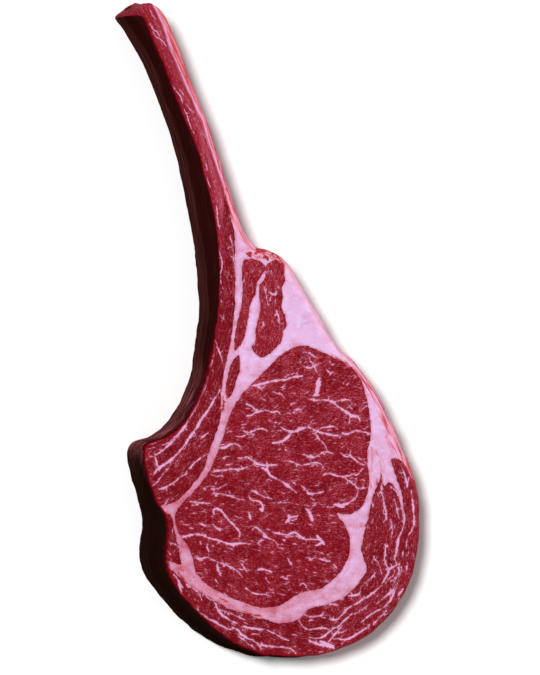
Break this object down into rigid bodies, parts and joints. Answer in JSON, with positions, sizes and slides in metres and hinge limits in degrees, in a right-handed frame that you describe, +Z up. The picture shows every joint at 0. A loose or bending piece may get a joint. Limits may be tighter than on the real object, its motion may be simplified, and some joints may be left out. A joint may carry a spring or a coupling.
{
  "type": "raw tomahawk steak",
  "caption": "Raw tomahawk rib steak lying flat: marbled eye, cap and rib meat with seams of fat, on a long curved rib bone handle.",
  "frame": {"origin": "middle of the bounding box on the surface that the steak lies on", "axes": "+Z up out of the cut face, +Y along the steak towards the end of the bone handle, +X away from the rib towards the outer fat"},
  "size_m": [0.1808, 0.3898, 0.0428],
  "materials": {
    "bone": "rib bone under a thin, dark, dry cover of membrane and meat, satin",
    "lean": "raw lean beef, crimson with fine pale marbling, moist satin",
    "fat": "raw beef fat, pale pink, smooth and slightly waxy"
  },
  "bodies": {
    "root": {"rib_bone": "bone", "rib_meat": "lean", "eye_muscle": "lean", "cap_muscle": "lean", "side_muscle": "lean", "inner_tail_muscle": "lean", "outer_tail_muscle": "lean", "seam_muscle": "lean", "fat": "fat"}
  },
  "joints": []
}
